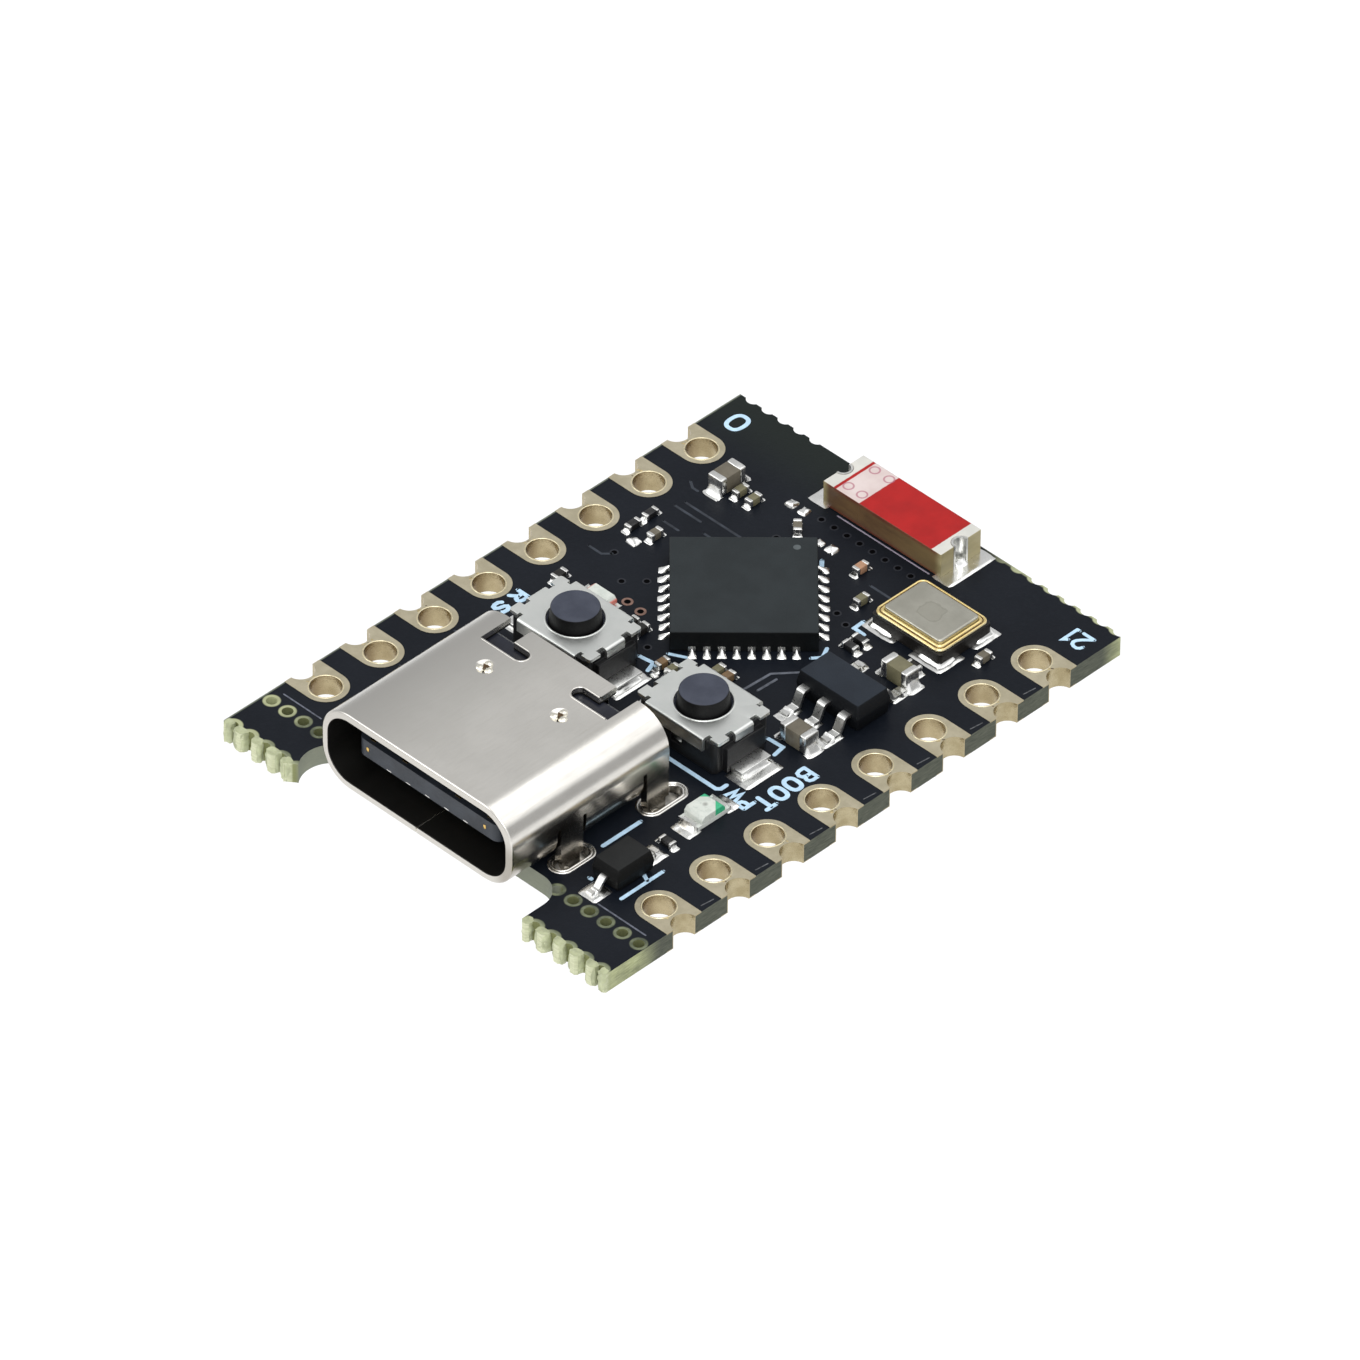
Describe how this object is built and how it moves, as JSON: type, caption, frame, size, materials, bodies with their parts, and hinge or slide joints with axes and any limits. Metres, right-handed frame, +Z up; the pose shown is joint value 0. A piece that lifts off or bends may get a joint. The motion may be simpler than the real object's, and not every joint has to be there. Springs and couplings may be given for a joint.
{
  "type": "microcontroller development board",
  "caption": "Small dark controller board with a rounded metal data port, a chip turned by 45 degrees, a ceramic antenna, push buttons and gold edge pads with half-round notches.",
  "frame": {"origin": "centre of the two rows of edge pads, on the board's underside", "axes": "+X across the board, away from the reset button; +Y from the data port to the antenna; +Z up from the underside through the components"},
  "size_m": [0.018, 0.0245, 0.004],
  "materials": {
    "board": "semi-gloss dark mask over glass laminate",
    "gold_pads": "satin gold plating",
    "slot_tin": "satin tin plating",
    "port_metal": "satin nickel",
    "contact_gold": "polished gold",
    "port_plastic": "fine matte",
    "solder": "bright solder",
    "chip_black": "moulded matte",
    "antenna_ceramic": "fired ceramic with a printed top",
    "antenna_silver": "silvered",
    "crystal_ceramic": "dark fired ceramic",
    "crystal_gold": "gold plated rim",
    "crystal_metal": "satin",
    "lead_tin": "tinned",
    "key_metal": "fine brushed",
    "key_black": "moulded matte",
    "key_cap": "smooth matte",
    "light_base": "white laminate",
    "light_lens": "milky resin",
    "capacitor_ceramic": "fired ceramic",
    "resistor_black": "glassy dark coat"
  },
  "bodies": {
    "board_unit": {"circuit_board": "board", "edge_pads": "gold_pads", "leg_slot_plating": "slot_tin", "port_shell": "port_metal", "port_contacts": "contact_gold", "port_mid_plate": "slot_tin", "port_insulator": "port_plastic", "leg_slot_solder": "solder", "main_chip_lands": "lead_tin", "main_chip_package": "chip_black", "main_chip_solder": "solder", "antenna_body": "antenna_ceramic", "antenna_terminals": "antenna_silver", "crystal_base": "crystal_ceramic", "crystal_rim": "crystal_gold", "crystal_lid": "crystal_metal", "regulator_leads": "lead_tin", "regulator_package": "chip_black", "diode_leads": "lead_tin", "diode_package": "chip_black", "reset_terminals": "lead_tin", "reset_base": "key_black", "reset_dome": "key_metal", "reset_cover": "key_metal", "boot_terminals": "lead_tin", "boot_base": "key_black", "boot_dome": "key_metal", "boot_cover": "key_metal", "power_light_terminals": "lead_tin", "power_light_base": "light_base", "power_light_lens": "light_lens", "status_light_terminals": "lead_tin", "status_light_base": "light_base", "status_light_lens": "light_lens", "large_capacitor_bodies": "capacitor_ceramic", "large_capacitor_ends": "lead_tin", "small_capacitor_bodies": "capacitor_ceramic", "small_capacitor_ends": "lead_tin", "resistor_bodies": "resistor_black", "resistor_ends": "lead_tin", "component_solder": "solder"},
    "reset_key": {"reset_plunger": "key_cap"},
    "boot_key": {"boot_plunger": "key_cap"}
  },
  "joints": [
    {"name": "reset_press", "type": "slide", "parent": "board_unit", "child": "reset_key", "axis": [0, 0, -1], "range_m": [0, 0.00025], "stiffness_N_per_m": 6400, "deforming": ["reset_dome"]},
    {"name": "boot_press", "type": "slide", "parent": "board_unit", "child": "boot_key", "axis": [0, 0, -1], "range_m": [0, 0.00025], "stiffness_N_per_m": 6400, "deforming": ["boot_dome"]}
  ]
}
